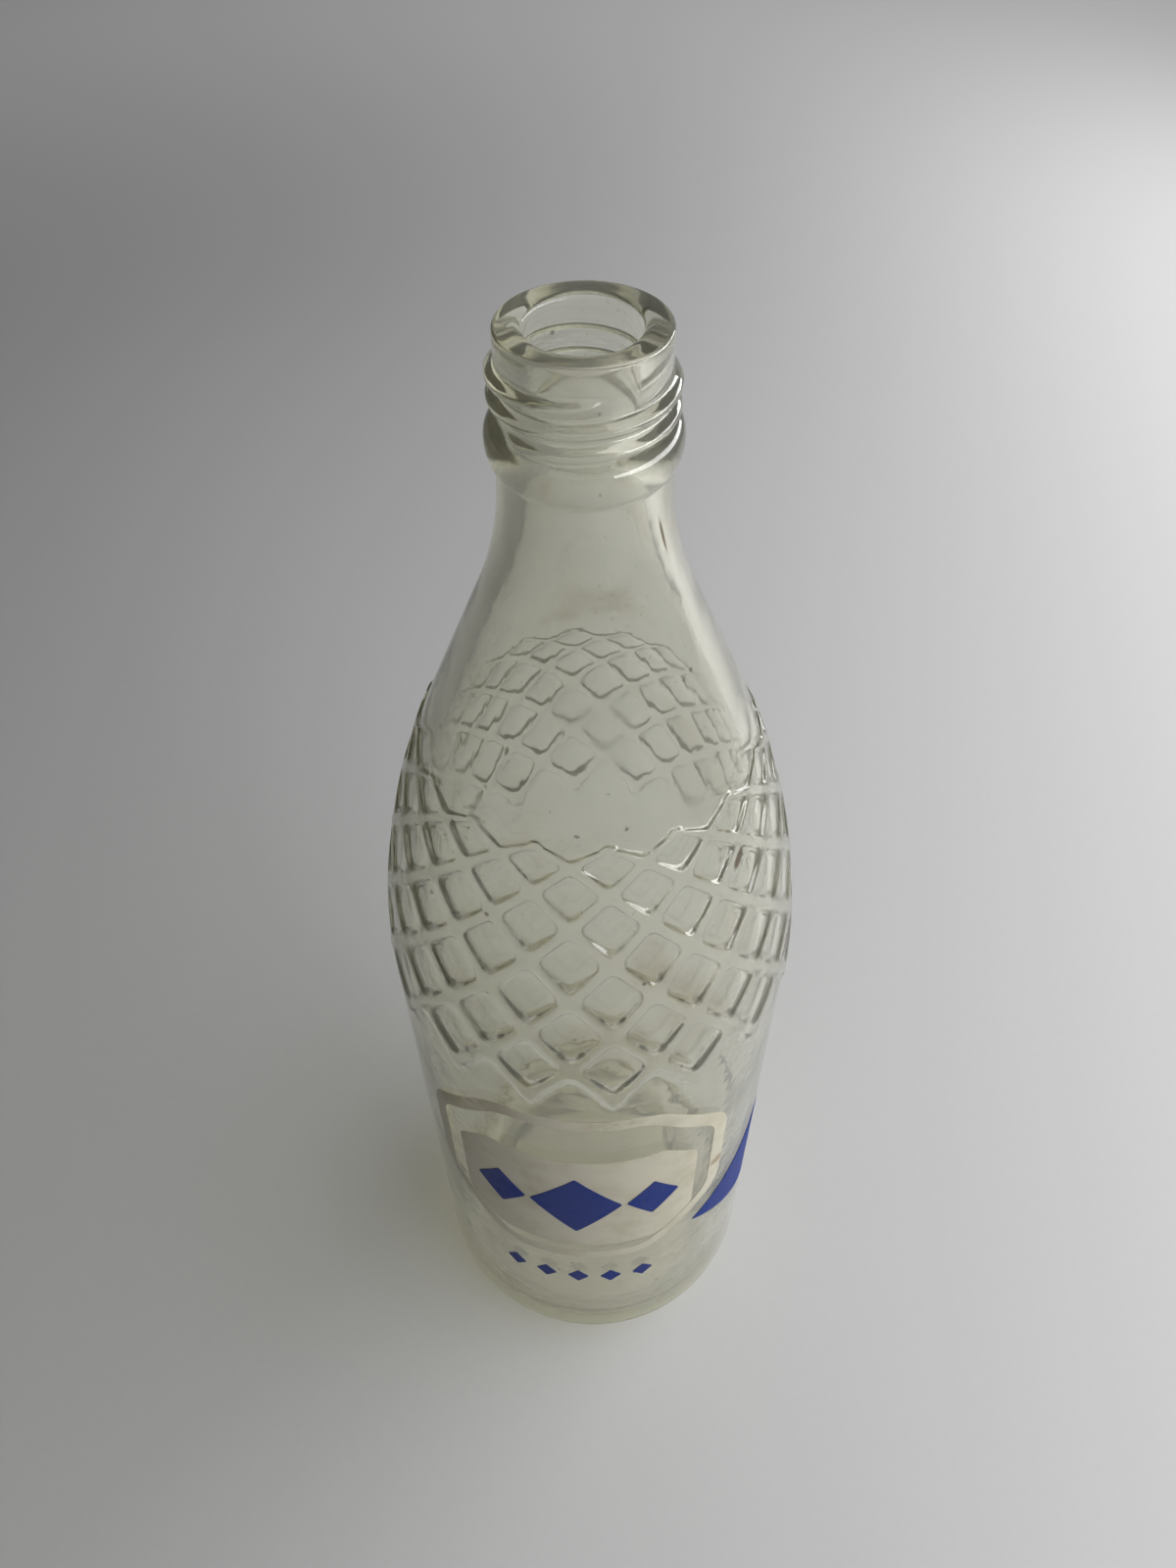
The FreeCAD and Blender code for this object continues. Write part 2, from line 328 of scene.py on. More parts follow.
def clearGlass():
    look = glassLook
    material, tree, shader, output, place = newMaterial("clearGlass")
    scuffed = placeScuffs(tree, place, look["scuffs"])
    residue = driedResidue(tree, place)
    rib = addNode(tree, "ShaderNodeAttribute", attribute_name="ribShare").outputs["Fac"]
    tree.links.new(glassColour(tree, place, scuffed, residue, rib), shader.inputs["Base Color"])
    tree.links.new(glassRoughness(tree, place, scuffed, residue, rib), shader.inputs["Roughness"])
    tree.links.new(glassNormal(tree, place), shader.inputs["Normal"])
    setInputs(shader, {"Transmission Weight": look["clearness"], "IOR": look["ior"]})
    passing = addNode(tree, "ShaderNodeBsdfTransparent")  # light falls through, so the shadow stays pale
    passing.inputs["Color"].default_value = look["shadowTint"]
    rays = addNode(tree, "ShaderNodeLightPath")
    mix = addNode(tree, "ShaderNodeMixShader")
    tree.links.new(rays.outputs["Is Shadow Ray"], mix.inputs[0])
    tree.links.new(shader.outputs[0], mix.inputs[1])
    tree.links.new(passing.outputs[0], mix.inputs[2])
    tree.links.new(mix.outputs[0], output.inputs["Surface"])
    absorb = addNode(tree, "ShaderNodeVolumeAbsorption")
    setInputs(absorb, {"Color": look["inside"], "Density": look["density"]})
    tree.links.new(absorb.outputs["Volume"], output.inputs["Volume"])
    return material


# fired-on enamel, white and blue

enamelLooks = {
    "whiteEnamel": {"fresh": (0.66, 0.63, 0.515), "dull": (0.55, 0.51, 0.395), "slot": "white_enamel",
                    "pits": 0.8, "rubbed": 0.6, "worn": 0.85, "sheer": 0.24},
    "blueEnamel": {"fresh": (0.008, 0.024, 0.17), "dull": (0.018, 0.040, 0.20), "slot": "blue_enamel",
                   "pits": 0.6, "rubbed": 0.0, "worn": 0.0, "sheer": 0.0},
}
enamelWear = {
    "rough": (0.5, 0.75), "gloss": 0.15, "bump": 0.25, "bumpDeep": 0.0002,
    "scuffs": {"Cloud Scale": 70.0, "Speck Scale": 150.0, "Speck Size": 0.075},
    "grainScale": 160.0, "grainFrom": (0.30, 0.62), "grainShare": (0.55, 1.0),
    "rubbedFrom": {"X": (-0.004, -0.024), "Z": (0.112, 0.128)},  # the print's upper left, rubbed thin
    "rubbedBrown": (0.36, 0.29, 0.19),
    "wornLine": {"low": (-0.001, -0.0434, 0.1350), "high": (0.0185, -0.0393, 0.1350),
                 "wide": 0.007, "core": 0.3},  # the upper line, worn thin
}
chip = {"place": (0.0325, -0.0289, 0.0932), "edge": 0.0044, "core": 0.0024,
        "raggedScale": 420.0, "ragged": 0.003, "share": 0.9}


def chippedSpot(tree, place):
    # high where a chip with a ragged edge shows brown
    ragged = mathNode(tree, "MULTIPLY", noiseNode(tree, place, chip["raggedScale"]), chip["ragged"])
    reach = mathNode(tree, "ADD", distanceFrom(tree, place, chip["place"]), ragged)
    return mathNode(tree, "MULTIPLY", rangeNode(tree, reach, chip["edge"], chip["core"]), chip["share"])


def firedEnamel(name):
    look = enamelLooks[name]
    wear = enamelWear
    material, tree, shader, output, place = newMaterial(name)
    scuffed = placeScuffs(tree, place, wear["scuffs"])
    grain = noiseNode(tree, place, wear["grainScale"])
    grain = rangeNode(tree, grain, *wear["grainFrom"], *wear["grainShare"])
    spot = splitPlace(tree, place)
    corner = [rangeNode(tree, spot[axis], *limits) for axis, limits in wear["rubbedFrom"].items()]
    rubbed = mathNode(tree, "MULTIPLY", mathNode(tree, "MULTIPLY", *corner), grain)
    rubbed = mathNode(tree, "MULTIPLY", rubbed, look["rubbed"])
    worn = mathNode(tree, "MULTIPLY", strokeMask(tree, place, wear["wornLine"]), grain)
    worn = mathNode(tree, "MULTIPLY", worn, look["worn"])
    brown = mathNode(tree, "MAXIMUM", rubbed, chippedSpot(tree, place))
    colour = colourMix(tree, scuffed["Cloud"], look["fresh"], look["dull"])
    tree.links.new(colourMix(tree, brown, colour, wear["rubbedBrown"]), shader.inputs["Base Color"])
    rough = rangeNode(tree, scuffed["Cloud"], 0.0, 1.0, *wear["rough"])
    tree.links.new(rough, shader.inputs["Roughness"])
    thin = mathNode(tree, "MULTIPLY", scuffed["Specks"], look["pits"])
    for amount in (rubbed, worn, look["sheer"]):
        thin = mathNode(tree, "MAXIMUM", thin, amount)
    tree.links.new(mathNode(tree, "SUBTRACT", 1.0, thin), shader.inputs["Alpha"])
    shader.inputs["Specular IOR Level"].default_value = wear["gloss"]
    bump = addNode(tree, "ShaderNodeBump")
    setInputs(bump, {"Strength": wear["bump"], "Distance": wear["bumpDeep"]})
    tree.links.new(scuffed["Height"], bump.inputs["Height"])
    tree.links.new(bump.outputs["Normal"], shader.inputs["Normal"])
    tree.links.new(shader.outputs[0], output.inputs["Surface"])
    return material


glassMaterial = clearGlass()
enamelMaterials = {name: firedEnamel(name) for name in enamelLooks}
print("materials made")


# the glass: one sector of the lattice, carried up to the mouth and inside, and down to the foot,
# then turned round the axis

bottle = {
    "bodyRadius": 43.45, "bodyHeight": 141.0, "wall": 3.8, "baseThickness": 5.0, "innerHeel": 9.0,
    "heelRadius": 8.0, "heelSweep": 88.0, "footWidth": 2.5, "footLift": 0.05,
    "pushUp": 4.0, "pushUpRadius": 27.0, "pushUpEase": -0.05,
    "coneAngle": 22.8, "coneLength": 26.6, "flareRadius": 60.0, "innerFlareRadius": 68.0,
    "neckRadius": 13.25, "neckLength": 1.1, "beadBulge": 1.45, "beadHeight": 7.4, "beadCrest": 4.45,
    "finishRadius": 12.5, "finishHeight": 13.3, "lipRound": 0.6, "boreRadius": 8.25,
    "mouthFlare": 0.5, "rimFall": 0.3, "rimSweep": 175.0,
    "seam": 0.09, "seamTurn": 22.5, "seamReach": 0.1,
    "wave": 0.07, "waveSize": 17.0, "waveFrom": 20.0,  # the ripple of the inner wall, from this radius out
    "margin": 1.0, "mergeReach": 0.002, "axisGap": 1e-4,
}
lattice = {
    "cells": 16, "rows": 8, "start": 5.7, "height": 65.3, "growth": 1.42, "lift": 0.5, "pocket": 0.17,
    "topHalf": 0.06, "footHalf": 0.155,  # half widths of a rib, in cells
    "cornerRound": 0.26,  # a pocket's corners, in cells
    "lines": (0.0, 0.06, 0.085, 0.108, 0.13, 0.155, 0.25, 0.5),  # grid lines either side of a rib
    "below": -0.2, "above": 8.9, "overTop": 2.0,  # rows that the sheet spans, and mm a row past the top
    "spareCells": 3, "firstRising": -1, "lastFalling": 2,
    "probe": 0.05, "snap": 1e-6, "trimReach": 1e-5, "rimReach": 1e-4,
}
thread = {
    "start": 25.0, "top": 280.65, "pitch": 3.5, "turns": 2.25,  # it starts right of the front and runs down
    "height": 1.4, "crestHalf": 0.35, "footHalf": 1.45, "fade": 0.09,
}
stationCounts = {
    "shoulder": 3, "cone": 2, "flare": 9, "neck": 2, "beadUnder": 6, "beadOver": 5, "finish": 30,
    "lip": 5, "rim": 5, "mouth": 4, "bore": 3, "innerShoulder": 10, "innerWall": 9, "innerHeel": 7,
    "innerFloor": 3, "underLattice": 2, "body": 4, "heel": 8, "pushUpEdge": 6, "pushUp": 2,
}

coneTurn = math.radians(bottle["coneAngle"])
shoulderRadius = (bottle["bodyRadius"] - bottle["neckRadius"]
                  - bottle["flareRadius"] * (1 - math.cos(coneTurn))
                  - bottle["coneLength"] * math.sin(coneTurn)) / (1 - math.cos(coneTurn))
shoulderCentre = (bottle["bodyRadius"] - shoulderRadius, bottle["bodyHeight"])
cellTurn = 2 * math.pi / lattice["cells"]


def rowLength(row):
    # how far up the shoulder a row lies; the last one is eased so that the top ends in a soft wave
    last = lattice["rows"] - 1
    if row > last:
        rise = row - last
        step = lattice["height"] * (1 / lattice["rows"]) ** lattice["growth"]
        slope = step * lattice["growth"]
        bend = step - slope
        if rise < 1:
            return rowLength(last) + slope * rise + bend * rise * rise
        return rowLength(last) + step + (slope + 2 * bend + lattice["overTop"]) * (rise - 1)
    share = 1 - row / lattice["rows"]
    return lattice["start"] + lattice["height"] * (1 - share ** lattice["growth"])


def shoulderNormal(row, across):
    lean = rowLength(row) / shoulderRadius
    turn = across * cellTurn
    return Vector((math.cos(lean) * math.sin(turn), -math.cos(lean) * math.cos(turn), math.sin(lean)))


def shoulderPoint(row, across, lift):
    lean = rowLength(row) / shoulderRadius
    reach = shoulderRadius + lift
    return around(shoulderCentre[0] + reach * math.cos(lean), across * cellTurn,
                  shoulderCentre[1] + reach * math.sin(lean))


def ribShare(across, row):
    # 1 on top of a rib, 0 on the floor between ribs
    lean = rowLength(row) / shoulderRadius
    wide = (shoulderCentre[0] + shoulderRadius * math.cos(lean)) * cellTurn
    probe = lattice["probe"]
    tall = (rowLength(row + probe) - rowLength(row - probe)) / (2 * probe)
    perp = math.hypot(1 / wide, 0.5 / tall)
    along = math.hypot(0.5 * wide, tall)
    rising, falling = across + row / 2, across - row / 2
    short = []
    for here, other, sign in ((rising, falling, 1), (falling, rising, -1)):
        rib = math.floor(here) + 0.5
        travel = (rib - other) * sign
        beyond = max(0.0, -travel, travel - lattice["rows"])
        away = math.hypot(here - rib, beyond * along * perp)
        short.append(max(lattice["cornerRound"] - away, 0.0))
    gap = lattice["cornerRound"] - math.hypot(*short)
    return 1 - smoothStep(lattice["topHalf"], lattice["footHalf"], gap)


def latticePoint(across, row):
    # a pocket has a flat floor, square to its middle
    rising, falling = round(across + row / 2), round(across - row / 2)
    cellRow, cellAcross = rising - falling, (rising + falling) / 2
    floor = 0.0
    if 1 <= cellRow < lattice["rows"]:
        facing = shoulderNormal(cellRow, cellAcross)
        middle = shoulderPoint(cellRow, cellAcross, -lattice["pocket"])
        here = shoulderPoint(row, across, 0)
        floor = (middle - here).dot(facing) / shoulderNormal(row, across).dot(facing)
    share = ribShare(across, row)
    return shoulderPoint(row, across, floor + (lattice["lift"] - floor) * share)


def latticeSheet(bm):
    # a square grid laid along the ribs, trimmed to one cell's width
    span = lattice["rows"] // 2 + lattice["spareCells"]
    lines = len(lattice["lines"]) - 1
    segments = 2 * lines * span
    made = bmesh.ops.create_grid(bm, x_segments=segments, y_segments=segments, size=span / 2)
    shift = span / 2

    def alongRibs(value):
        cell = math.floor(value + lattice["snap"])
        step = round((value - cell - 0.5) * 2 * lines)
        return cell + 0.5 + math.copysign(lattice["lines"][abs(step)], step)

    for v in made["verts"]:
        rising = alongRibs(v.co.x + shift + lattice["firstRising"])
        falling = alongRibs(v.co.y + shift - span + lattice["lastFalling"])
        v.co = ((rising + falling) / 2, rising - falling, 0)
    trims = [((0, 0, 0), (-1, 0, 0)), ((1, 0, 0), (1, 0, 0)),
             ((0, lattice["below"], 0), (0, -1, 0)), ((0, lattice["above"], 0), (0, 1, 0))]
    for place, facing in trims:
        bmesh.ops.bisect_plane(bm, geom=bm.verts[:] + bm.edges[:] + bm.faces[:], dist=lattice["trimReach"],
                               plane_co=place, plane_no=facing, clear_outer=True)

    def rimAt(row):
        return [e for e in bm.edges if all(abs(v.co.y - row) < lattice["rimReach"] for v in e.verts)]

    top = rimAt(lattice["above"])
    bottom = rimAt(lattice["below"])
    share = bm.verts.layers.float.new("ribShare")  # kept for the paler rib tops with their painted highlight, and for the grime and painted shade along the ribs
    for v in bm.verts:
        across, row = v.co.x, v.co.y
        v[share] = ribShare(across, row)
        v.co = latticePoint(across, row)
    return top, bottom


def carry(bm, edges, stations):
    # draws an open rim along the stations, keeping every point's turn
    share = bm.verts.layers.float["ribShare"]
    for radius, level in stations:
        turns = {}
        made = bmesh.ops.extrude_edge_only(bm, edges=edges)["geom"]
        for v in [g for g in made if isinstance(g, bmesh.types.BMVert)]:
            turns[v] = math.atan2(v.co.x, -v.co.y)
            v[share] = 0.0
            v.co = around(max(radius, bottle["axisGap"]), turns[v], level)
        edges = [g for g in made if isinstance(g, bmesh.types.BMEdge)
                 and all(v in turns for v in g.verts)]


def upwardStations():
    # from the lattice up the outside, over the lip and to the bore
    b = bottle
    n = stationCounts
    lean = b["coneAngle"]
    fromLean = math.degrees(rowLength(lattice["above"]) / shoulderRadius)
    coneLow = arcPoint(shoulderCentre, shoulderRadius, lean)
    coneHigh = (coneLow[0] - b["coneLength"] * math.sin(coneTurn),
                coneLow[1] + b["coneLength"] * math.cos(coneTurn))
    neckStart = coneHigh[1] + b["flareRadius"] * math.sin(coneTurn)
    flareCentre = (b["neckRadius"] + b["flareRadius"], neckStart)
    beadStart = neckStart + b["neckLength"]
    finishStart = beadStart + b["beadHeight"]
    height = finishStart + b["finishHeight"]
    out = arcStations(shoulderCentre, shoulderRadius, fromLean, lean, n["shoulder"])
    out += lineStations(coneLow, coneHigh, n["cone"])
    out += arcStations(flareCentre, b["flareRadius"], 180 + lean, 180, n["flare"])
    out += lineStations((b["neckRadius"], neckStart), (b["neckRadius"], beadStart), n["neck"])
    crest = beadStart + b["beadCrest"]
    out += ovalStations((b["neckRadius"], crest), b["beadBulge"], b["beadCrest"], -90, 0, n["beadUnder"])
    overFinish = b["neckRadius"] + b["beadBulge"] - b["finishRadius"]
    out += ovalStations((b["finishRadius"], crest), overFinish, finishStart - crest, 0, 90, n["beadOver"])
    lipLow = height - b["lipRound"]
    out += lineStations((b["finishRadius"], finishStart), (b["finishRadius"], lipLow), n["finish"])
    rimOut = b["finishRadius"] - b["lipRound"]
    out += arcStations((rimOut, lipLow), b["lipRound"], 0, 90, n["lip"])
    rimIn = b["boreRadius"] + b["mouthFlare"]
    rimLow = height - b["rimFall"]
    out += ovalStations((rimOut, rimLow), rimOut - rimIn, b["rimFall"], 90, b["rimSweep"], n["rim"])
    out += arcStations((rimIn, rimLow - b["mouthFlare"]), b["mouthFlare"], 90, 180, n["mouth"])
    return out, height


def insideStations(height):
    # from the bore down the inside to the middle of its floor
    b = bottle
    n = stationCounts
    lean = b["coneAngle"]
    inside = shoulderRadius - b["wall"]
    coneLow = arcPoint(shoulderCentre, inside, lean)
    reach = b["boreRadius"] + b["innerFlareRadius"]
    rise = b["innerFlareRadius"] - (reach - coneLow[0]) * math.cos(coneTurn)
    flareCentre = (reach, coneLow[1] + rise / math.sin(coneTurn))
    coneHigh = arcPoint(flareCentre, b["innerFlareRadius"], 180 + lean)
    wall = b["bodyRadius"] - b["wall"]
    floor = b["pushUp"] + b["baseThickness"]
    boreHigh = (b["boreRadius"], height - b["rimFall"] - b["mouthFlare"])
    out = lineStations(boreHigh, (b["boreRadius"], flareCentre[1]), n["bore"])
    out += arcStations(flareCentre, b["innerFlareRadius"], 180, 180 + lean, n["flare"])
    out += lineStations(coneHigh, coneLow, n["cone"])
    out += arcStations(shoulderCentre, inside, lean, 0, n["innerShoulder"])
    heelCentre = (wall - b["innerHeel"], floor + b["innerHeel"])
    out += lineStations((wall, b["bodyHeight"]), (wall, heelCentre[1]), n["innerWall"])
    out += arcStations(heelCentre, b["innerHeel"], 0, -90, n["innerHeel"])
    out += lineStations((heelCentre[0], floor), (0, floor), n["innerFloor"])
    return out


def downwardStations():
    # from the lattice down the body, round the foot and to the middle of the underside
    b = bottle
    n = stationCounts
    foot = b["bodyRadius"] - b["heelRadius"]
    fromLean = math.degrees(rowLength(lattice["below"]) / shoulderRadius)
    out = arcStations(shoulderCentre, shoulderRadius, fromLean, 0, n["underLattice"])
    out += lineStations((b["bodyRadius"], b["bodyHeight"]), (b["bodyRadius"], b["heelRadius"]), n["body"])
    out += arcStations((foot, b["heelRadius"]), b["heelRadius"], 0, -b["heelSweep"], n["heel"])
    rim = foot - b["footWidth"]
    out += [(foot, 0.0), (foot - b["footWidth"] / 2, 0.0), (rim, b["footLift"])]
    count = n["pushUpEdge"]
    for i in range(1, count + 1):
        radius = rim + (b["pushUpRadius"] - rim) * i / count
        out.append((radius, b["pushUp"] * smoothStep(b["pushUpEase"], 1, i / count)))
    out += lineStations((b["pushUpRadius"], b["pushUp"]), (0, b["pushUp"]), n["pushUp"])
    return out


def threadLift(turn, level):
    # a right-hand screw: it climbs to the right as seen from outside
    t = thread
    share = (math.degrees(-turn) + t["start"]) % 360 / 360
    lift = 0.0
    for lap in range(math.ceil(t["turns"])):
        run = share + lap
        if run > t["turns"]:
            continue
        fade = smoothStep(0, t["fade"], run) * smoothStep(0, t["fade"], t["turns"] - run)
        away = abs(level - (t["top"] - t["pitch"] * run))
        lift = max(lift, fade * (1 - smoothStep(t["crestHalf"], t["footHalf"], away)))
    return lift * t["height"]


def glassBottle():
    b = bottle
    bm = bmesh.new()
    top, bottom = latticeSheet(bm)
    upward, height = upwardStations()
    carry(bm, top, upward + insideStations(height))
    carry(bm, bottom, downwardStations())
    turns = lattice["cells"] - 1
    bmesh.ops.spin(bm, geom=bm.verts[:] + bm.edges[:] + bm.faces[:], cent=(0, 0, 0), axis=(0, 0, 1),
                   angle=turns * cellTurn, steps=turns, use_duplicate=True)
    bmesh.ops.remove_doubles(bm, verts=bm.verts, dist=b["mergeReach"])
    finishLow = height - b["finishHeight"]
    seamTurn = math.radians(b["seamTurn"])
    innerWall = b["bodyRadius"] - b["wall"]
    waveLow = b["pushUp"] + b["baseThickness"] + b["margin"]
    for v in bm.verts:
        radius = math.hypot(v.co.x, v.co.y)
        turn = math.atan2(v.co.x, -v.co.y)
        outside = radius > b["boreRadius"] + b["mouthFlare"] + b["margin"]
        if outside and finishLow - b["beadBulge"] < v.co.z < height - b["lipRound"]:
            v.co = around(max(radius, b["finishRadius"] + threadLift(turn, v.co.z)), turn, v.co.z)
        offSeam = abs(v.co.x * math.cos(seamTurn) + v.co.y * math.sin(seamTurn))
        bodyLevel = b["heelRadius"] < v.co.z < b["bodyHeight"] + b["margin"]
        if bodyLevel and radius > b["bodyRadius"] - b["margin"] and offSeam < b["seamReach"]:
            v.co = around(radius + b["seam"], turn, v.co.z)
        if waveLow < v.co.z < b["bodyHeight"] and b["waveFrom"] < radius < innerWall + b["margin"]:
            ripple = noise.noise(v.co / b["waveSize"]) * b["wave"]
            v.co = around(radius + ripple, turn, v.co.z)
    print("open edges in the glass:", len([e for e in bm.edges if not e.is_manifold]))
    finishMesh(bm, "glassBottle", glassMaterial, "glass_bottle")


glassBottle()


# the enamel prints: flat outlines cut into narrow strips, thickened and rolled onto the body

prints = {
    "depth": 0.03, "thick": 0.14, "bite": 0.02,  # how far a print sinks into the glass or the print below
    "strip": 1.2, "cutReach": 1e-4, "cornerSteps": 5, "sharpAngle": 40, "top": 137.0,
    "frameWide": 76.0, "frameTall": 76.0, "frameCorner": 20.0, "frameLine": 4.0, "frameRound": 5.0,
    "fieldGap": 4.5, "fieldDrop": 20.0, "fieldCorner": 9.0, "fieldRound": 2.0,
    "big": (22.0, 30.0), "small": (13.0, 18.0), "gap": 1.0, "lozengeRound": 0.6,
    "rowCount": 5, "rowSize": (5.5, 7.5), "rowPitch": 8.5, "rowDrop": 14.0,
    "sideTurn": 76.0, "sideSize": (54.0, 40.0), "sideLevel": 65.0,
}


def octagonCorners(wide, tall, corner):
    x, z = wide / 2, tall / 2
    return [(corner - x, -z), (x - corner, -z), (x, corner - z), (x, z - corner),
            (x - corner, z), (corner - x, z), (-x, z - corner), (-x, corner - z)]


def lozengeCorners(size):
    return [(0, -size[1] / 2), (size[0] / 2, 0), (0, size[1] / 2), (-size[0] / 2, 0)]


def flatPrint(bm, corners, rounding, line):
    # one face with rounded corners, or only its border where a line width is given
    verts = [bm.verts.new((x, y, 0)) for x, y in corners]
    bm.faces.new(verts)
    bmesh.ops.bevel(bm, geom=verts, affect="VERTICES", offset=rounding, segments=prints["cornerSteps"],
                    profile=0.5, material=-1)
    if line:
        bmesh.ops.inset_region(bm, faces=bm.faces[:], thickness=line,
                               use_boundary=True, use_even_offset=True)
        inner = max(bm.faces, key=lambda f: len(f.verts))
        bmesh.ops.delete(bm, geom=[inner], context="FACES")


def rollOn(bm, base, turn, level):
    # strips upright, so that the print bends round the body; then its thickness
    reach = max(abs(v.co.x) for v in bm.verts)
    count = int(2 * reach / prints["strip"])
    for i in range(1, count):
        bmesh.ops.bisect_plane(bm, geom=bm.verts[:] + bm.edges[:] + bm.faces[:], dist=prints["cutReach"],
                               plane_co=(-reach + 2 * reach * i / count, 0, 0), plane_no=(1, 0, 0))
    raised = bmesh.ops.extrude_face_region(bm, geom=bm.faces[:], use_keep_orig=True)["geom"]
    upper = [g for g in raised if isinstance(g, bmesh.types.BMVert)]
    bmesh.ops.translate(bm, vec=(0, 0, prints["thick"]), verts=upper)
    for v in bm.verts:
        v.co = around(base + v.co.z, turn + v.co.x / bottle["bodyRadius"], level + v.co.y)


def enamelPiece(name, node, look, shapes, over=False):
    # shapes holds (corners, rounding, border line, turn, level)
    joined = bmesh.new()
    base = bottle["bodyRadius"] - prints["depth"] + (prints["thick"] - prints["bite"] if over else 0)
    for corners, rounding, line, turn, level in shapes:
        bm = bmesh.new()
        flatPrint(bm, corners, rounding, line)
        rollOn(bm, base, turn, level)
        part = bpy.data.meshes.new("part")
        bm.to_mesh(part)
        bm.free()
        joined.from_mesh(part)
        bpy.data.meshes.remove(part)
    finishMesh(joined, name, enamelMaterials[look], node,
               sharpAngle=prints["sharpAngle"])


def enamelPrints():
    p = prints
    frameLevel = p["top"] - p["frameTall"] / 2
    fieldWide = p["frameWide"] - 2 * (p["frameLine"] + p["fieldGap"])
    fieldTall = p["frameTall"] - p["frameLine"] - p["fieldGap"] - p["fieldDrop"]
    fieldLevel = p["top"] - p["fieldDrop"] - fieldTall / 2
    rowLevel = p["top"] - p["frameTall"] - p["rowDrop"]
    step = ((p["big"][0] + p["small"][0]) / 2 + p["gap"]) / bottle["bodyRadius"]
    frameOutline = octagonCorners(p["frameWide"], p["frameTall"], p["frameCorner"])
    fieldOutline = octagonCorners(fieldWide, fieldTall, p["fieldCorner"])
    enamelPiece("printFrame", "print_frame", "whiteEnamel",
                [(frameOutline, p["frameRound"], p["frameLine"], 0, frameLevel)])
    enamelPiece("printField", "print_field", "whiteEnamel",
                [(fieldOutline, p["fieldRound"], 0, 0, fieldLevel)])
    for name, node, size, turn in (("lozengeMiddle", "lozenge_middle", p["big"], 0),
                                   ("lozengeLeft", "lozenge_left", p["small"], -step),
                                   ("lozengeRight", "lozenge_right", p["small"], step)):
        enamelPiece(name, node, "blueEnamel",
                    [(lozengeCorners(size), p["lozengeRound"], 0, turn, fieldLevel)], over=True)
    row = [(lozengeCorners(p["rowSize"]), p["lozengeRound"] / 2, 0,
            (i - (p["rowCount"] - 1) / 2) * p["rowPitch"] / bottle["bodyRadius"], rowLevel)
           for i in range(p["rowCount"])]
    enamelPiece("lozengeRow", "lozenge_row", "blueEnamel", row)
    sideTurn = math.radians(p["sideTurn"])
    enamelPiece("lozengeSide", "lozenge_side", "blueEnamel",
                [(lozengeCorners(p["sideSize"]), p["lozengeRound"], 0, sideTurn, p["sideLevel"])])


enamelPrints()


# pale paper under the bottle, glowing far off with painted light; soft light from the right

paper = {
    "half": 9.0, "light": (0.66, 0.66, 0.66), "shade": 0.96, "grainScale": 400.0,
    "rough": 0.9, "gloss": 0.1,
    "glow": (1.0, 1.0, 1.0, 1.0), "glowCentre": (-0.2, 0.2, 0.0),  # painted light: far off, the paper glows as pale as the room
    "farFrom": (0.35, 1.1), "farSides": (-1.2, 1.0), "farPaintedLight": (0.08, 0.28),
    "horizonFrom": (1.1, 2.6), "horizonPaintedLight": 0.12,
}
rightWindow = {
    "place": (0.58, 0.05, 0.36), "aim": (0.05, 0.05, 0.3),
    "long": 1.7, "tall": 0.2, "power": 9.4,
}
room = {
    "sides": (-1.0, 0.9), "darkSide": (0.04, 0.04, 0.042), "lightSide": (0.21, 0.21, 0.214),
    "backDark": (0.19, 0.19, 0.191), "backLight": (0.50, 0.50, 0.50),
    "frontGlow": (1.0, 1.0, 1.0), "ahead": (-0.3, -0.9), "up": (-0.05, 0.25),  # pale, seen only in gloss
}


def seenDirectly(tree):
    # 1 for what the camera, a reflection or the glass shows, 0 for what lights the object
    rays = addNode(tree, "ShaderNodeLightPath")
    shown = mathNode(tree, "MAXIMUM", rays.outputs["Is Camera Ray"], rays.outputs["Is Glossy Ray"])
    return mathNode(tree, "MAXIMUM", shown, rays.outputs["Is Transmission Ray"])


def palePaper():
    material, tree, shader, output, place = newMaterial("palePaper")
    shade = tuple(c * paper["shade"] for c in paper["light"])
    grain = noiseNode(tree, place, paper["grainScale"])
    tree.links.new(colourMix(tree, grain, paper["light"], shade), shader.inputs["Base Color"])
    setInputs(shader, {"Roughness": paper["rough"], "Specular IOR Level": paper["gloss"]})
    # painted light: the far paper and the horizon glow, seen only by the camera, in gloss and through glass
    reach = distanceFrom(tree, place, paper["glowCentre"])
    sides = rangeNode(tree, splitPlace(tree, place)["X"], *paper["farSides"], *paper["farPaintedLight"])
    far = mathNode(tree, "MULTIPLY", rangeNode(tree, reach, *paper["farFrom"]), sides)
    horizon = rangeNode(tree, reach, *paper["horizonFrom"], 0.0, paper["horizonPaintedLight"])
    glow = mathNode(tree, "MULTIPLY", mathNode(tree, "ADD", far, horizon), seenDirectly(tree))
    shader.inputs["Emission Color"].default_value = paper["glow"]
    tree.links.new(glow, shader.inputs["Emission Strength"])
    tree.links.new(shader.outputs[0], output.inputs["Surface"])
    return material


def paperFloor():
    bm = bmesh.new()
    bmesh.ops.create_grid(bm, x_segments=2, y_segments=2, size=paper["half"])
    mesh = bpy.data.meshes.new("paperFloor")
    bm.to_mesh(mesh)
    bm.free()
    floor = bpy.data.objects.new("paperFloor", mesh)
    bpy.context.scene.collection.objects.link(floor)
    mesh.materials.append(palePaper())


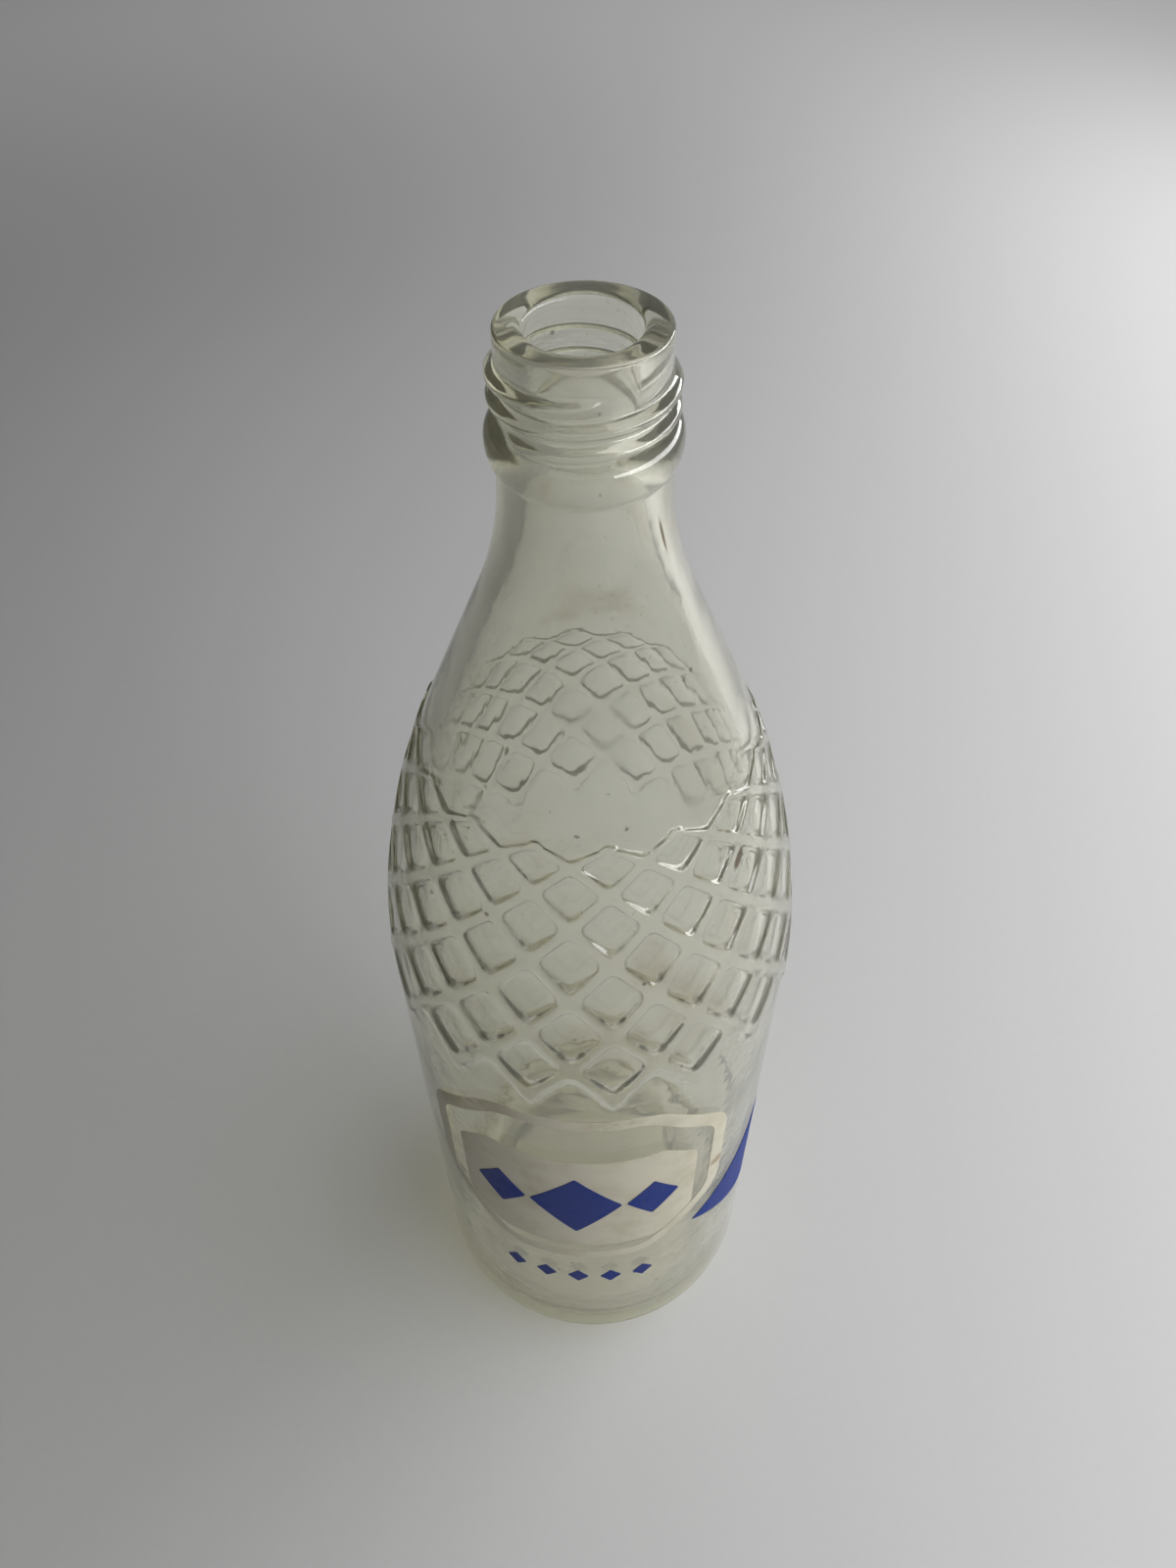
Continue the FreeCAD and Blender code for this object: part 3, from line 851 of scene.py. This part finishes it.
def softLamp(name, place, aim, long, tall, power):
    light = bpy.data.lights.new(name, "AREA")
    light.shape = "RECTANGLE"
    light.size = long
    light.size_y = tall
    light.energy = power
    lamp = bpy.data.objects.new(name, light)
    lamp.visible_transmission = False  # it glints on the glass, but isn't seen through it
    lamp.location = place
    lamp.rotation_euler = (Vector(aim) - Vector(place)).to_track_quat("-Z", "Y").to_euler()
    bpy.context.scene.collection.objects.link(lamp)


def softRoom():
    world = bpy.data.worlds.new("softRoom")
    bpy.context.scene.world = world
    world.use_nodes = True
    tree = world.node_tree
    towards = splitPlace(tree, addNode(tree, "ShaderNodeTexCoord").outputs["Generated"])
    fromLeft = rangeNode(tree, towards["X"], *room["sides"])
    shade = colourMix(tree, fromLeft, room["darkSide"], room["lightSide"])
    backdrop = colourMix(tree, fromLeft, room["backDark"], room["backLight"])
    ahead = rangeNode(tree, towards["Y"], *room["ahead"])
    ahead = mathNode(tree, "MULTIPLY", ahead, rangeNode(tree, towards["Z"], *room["up"]))
    gloss = addNode(tree, "ShaderNodeLightPath").outputs["Is Glossy Ray"]
    backdrop = colourMix(tree, mathNode(tree, "MULTIPLY", ahead, gloss), backdrop, room["frontGlow"])
    shown = colourMix(tree, seenDirectly(tree), shade, backdrop)
    tree.links.new(shown, tree.nodes["Background"].inputs["Color"])


paperFloor()
softLamp("rightWindow", **rightWindow)
softRoom()

# the camera, from above and a little to the right of the front; angles in degrees

view = {"away": 0.15043, "height": 0.3625, "side": 5.7, "down": 48.49, "turn": 0.057, "roll": -0.74,
        "lens": 26.9, "sensor": 36.0, "nearest": 0.01}


def photoCamera():
    camera = bpy.data.cameras.new("camera")
    camera.sensor_fit = "VERTICAL"
    camera.sensor_height = view["sensor"]
    camera.lens = view["lens"]
    camera.clip_start = view["nearest"]
    holder = bpy.data.objects.new("camera", camera)
    bpy.context.scene.collection.objects.link(holder)
    side = math.radians(view["side"])
    heading = side + math.radians(view["turn"])
    turn = (Matrix.Rotation(heading, 4, "Z") @ Matrix.Rotation(math.radians(90 - view["down"]), 4, "X")
            @ Matrix.Rotation(math.radians(view["roll"]), 4, "Z"))
    holder.matrix_world = Matrix.Translation(around(view["away"], side, view["height"])) @ turn
    bpy.context.scene.camera = holder


photoCamera()
bpy.context.scene.view_settings.view_transform = "Standard"
print("stage set")
